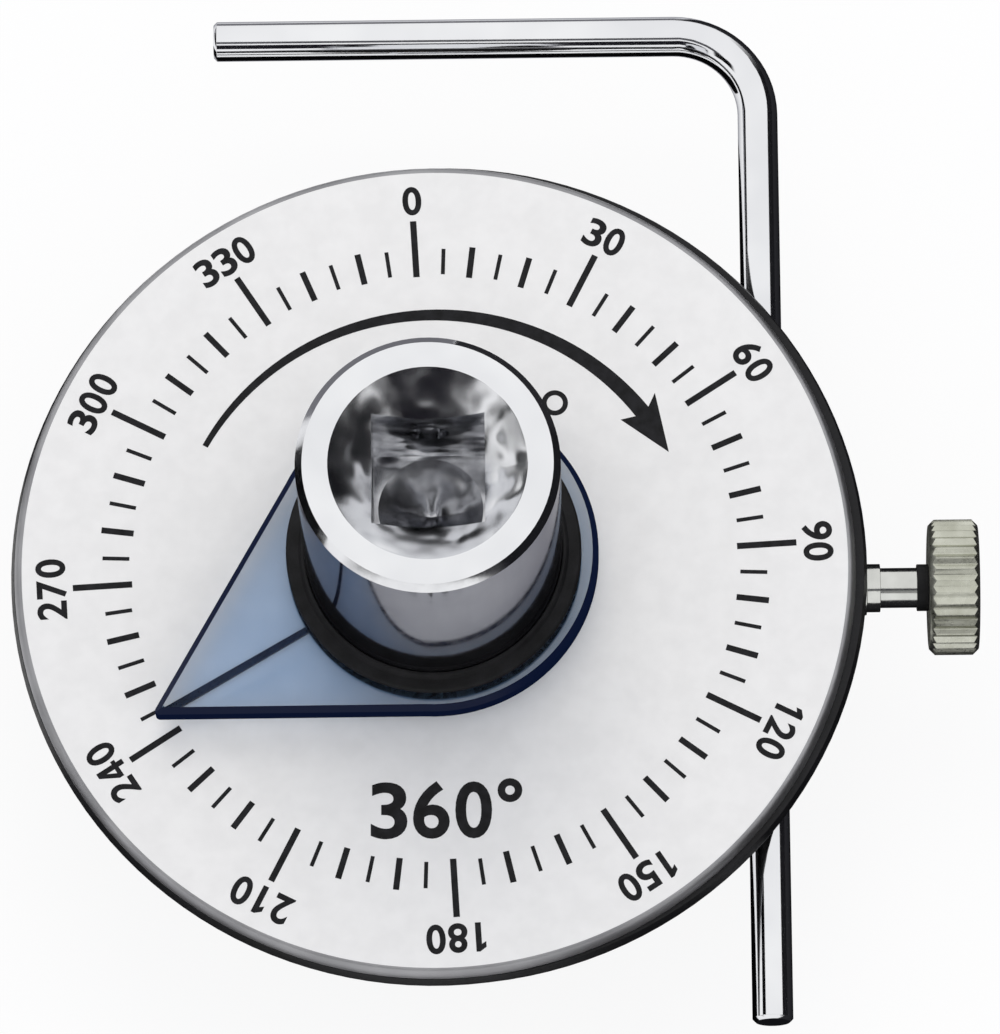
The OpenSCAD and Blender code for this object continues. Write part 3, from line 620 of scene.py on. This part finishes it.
def typeFigure(sign, spec):  # one figure of the type, thickened, on its base line about x = 0
    curve = bpy.data.curves.new("figure", "FONT")
    curve.body = sign
    curve.size = spec["high"] / dialPrint["capShare"] * mm
    curve.offset = spec["bold"] * spec["high"] * mm
    curve.extrude = dialPrint["inkThick"] / 2 * mm
    curve.resolution_u = dialPrint["curveSteps"]
    holder = bpy.data.objects.new("figure", curve)
    mesh = bpy.data.meshes.new_from_object(holder)
    bpy.data.objects.remove(holder)
    left, right = (end(v.co.x for v in mesh.vertices) for end in (min, max))
    room = spec["wide"] * spec["high"] * mm if sign.isdigit() else right - left
    middle = Matrix.Translation((-(left + right) / 2, 0, 0))
    mesh.transform(Matrix.Scale(room / (right - left), 4, (1, 0, 0)) @ middle)
    return mesh, room


def drawnFigure(sign, spec):  # a figure from its own faces, which may leave an eye between them
    bm = bmesh.new()
    size = spec["high"] * mm
    half = dialPrint["inkThick"] / 2 * mm
    faces = dialPrint["drawn"][sign]
    points = dict.fromkeys(point for face in faces for point in face)
    lower = {(x, y): bm.verts.new((x * size, y * size, -half)) for x, y in points}
    upper = {(x, y): bm.verts.new((x * size, y * size, half)) for x, y in points}
    edges = [pair for face in faces for pair in zip(face, face[1:] + face[:1])]
    for face in faces:
        bm.faces.new([upper[point] for point in face])
        bm.faces.new([lower[point] for point in reversed(face)])
    for start, stop in edges:
        if (stop, start) not in edges:  # where two faces meet there is no wall
            bm.faces.new((lower[start], lower[stop], upper[stop], upper[start]))
    mesh = bpy.data.meshes.new("figure")
    bm.to_mesh(mesh)
    bm.free()
    return mesh, spec["wide"] * size


def addFigures(bm, figures, spec, place, turn):  # a number set out from its middle, turned about it
    makers = [drawnFigure if sign in dialPrint["drawn"] else typeFigure for sign in figures]
    glyphs = [make(sign, spec) for make, sign in zip(makers, figures)]
    gap = spec["gap"] * spec["high"] * mm
    cursor = -(sum(room for _, room in glyphs) + gap * (len(glyphs) - 1)) / 2
    stand = Matrix.Translation((*place, (inkLow + inkHigh) / 2)) @ Matrix.Rotation(turn, 4, "Z")
    for glyph, room in glyphs:
        glyph.transform(stand @ Matrix.Translation((cursor + room / 2, -spec["high"] / 2 * mm, 0)))
        cursor += room + gap
        bm.from_mesh(glyph)
        bpy.data.meshes.remove(glyph)
    bmesh.ops.remove_doubles(bm, verts=bm.verts, dist=dialPrint["weld"] * mm)  # joins flat sides and walls


def buildNumbers(spec):
    bm = bmesh.new()
    for degrees in range(0, 360, 30):
        turn = math.radians(spec["scaleTurn"] - degrees)
        addFigures(bm, str(degrees), spec["numbers"], dialPoint(spec["numberRadius"], degrees), turn)
    addPiece("scaleNumbers", bm, screenInk, "dial")


def buildArrow(spec):  # a tapered arc with a plain head, pointing the way a screw is tightened
    bm = bmesh.new()
    steps = spec["steps"]
    angles = [spec["start"] + (spec["stop"] - spec["start"]) * i / steps for i in range(steps + 1)]
    widths = [spec["tail"] + (spec["root"] - spec["tail"]) * i / steps for i in range(steps + 1)]
    outer = [dialPoint(spec["radius"] + w / 2, a) for a, w in zip(angles, widths)]
    inner = [dialPoint(spec["radius"] - w / 2, a) for a, w in zip(angles, widths)]
    head = [
        dialPoint(spec["radius"] + spec["head"] / 2, spec["stop"] - spec["barbTurn"]),
        dialPoint(spec["radius"], spec["stop"] + spec["headTurn"]),
        dialPoint(spec["radius"] - spec["head"] / 2, spec["stop"] - spec["barbTurn"]),
    ]
    addPrism(bm, outer + head + inner[::-1], inkLow, inkHigh)
    addPiece("tightenArrow", bm, screenInk, "dial")


def buildTurnMark(spec):  # one full turn in degrees, upright below the barrel
    bm = bmesh.new()
    addFigures(bm, spec["turnFigures"], spec["turnNumber"], [v * mm for v in spec["turnPlace"]], 0)
    addPiece("turnMark", bm, screenInk, "dial")


def buildDegreeRing(spec):
    bm = bmesh.new()
    outer, inner = spec["outer"] * mm, spec["inner"] * mm
    profile = [(outer, inkLow), (outer, inkHigh), (inner, inkHigh), (inner, inkLow)]
    addLathe(bm, profile, spec["sides"], *dialPoint(spec["radius"], spec["degrees"]))
    addPiece("degreeMark", bm, screenInk, "dial")


buildScale(dialPrint)
buildNumbers(dialPrint)
buildArrow(dialPrint["arrow"])
buildTurnMark(dialPrint)
buildDegreeRing(dialPrint["degreeRing"])

# The pointer's index: lacquer in the groove under its blade, standing a hair proud; partly a painted shadow,
# as it is drawn wider than the groove so that its dark also stands in for the line's shadow on the face
indexLine = {
    "turn": -149.6, "near": 17.2, "far": 36.4, "tip": 0.5, "nearWidth": 0.75, "farWidth": 0.95,
    "proud": 0.04, "fill": 0.56,  # mm, the fill is just over the groove's depth
}


def buildIndex(spec):
    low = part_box("pointer")[0].z
    bm = bmesh.new()
    turn = Matrix.Rotation(math.radians(spec["turn"]), 4, "Z")
    near, far = spec["near"], spec["far"]
    nearHalf, farHalf = spec["nearWidth"] / 2, spec["farWidth"] / 2
    corners = [(near, -nearHalf), (far, -farHalf), (far + spec["tip"], 0), (far, farHalf), (near, nearHalf)]
    outline = [(turn @ Vector((x * mm, y * mm, 0)))[:2] for x, y in corners]
    addPrism(bm, outline, low - spec["proud"] * mm, low + spec["fill"] * mm)
    addPiece("indexLacquerAndShadow", bm, navyLacquer, "pointer")


buildIndex(indexLine)
print("dial printed")


def buildCoil():
    coil = bpy.data.objects.new("detentCoil", nodes["detent_spring"].data.copy())
    scene.collection.objects.link(coil)
    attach(coil, "spindle")
    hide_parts("detent_spring")
    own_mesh(coil)


buildCoil()
print("coil built")
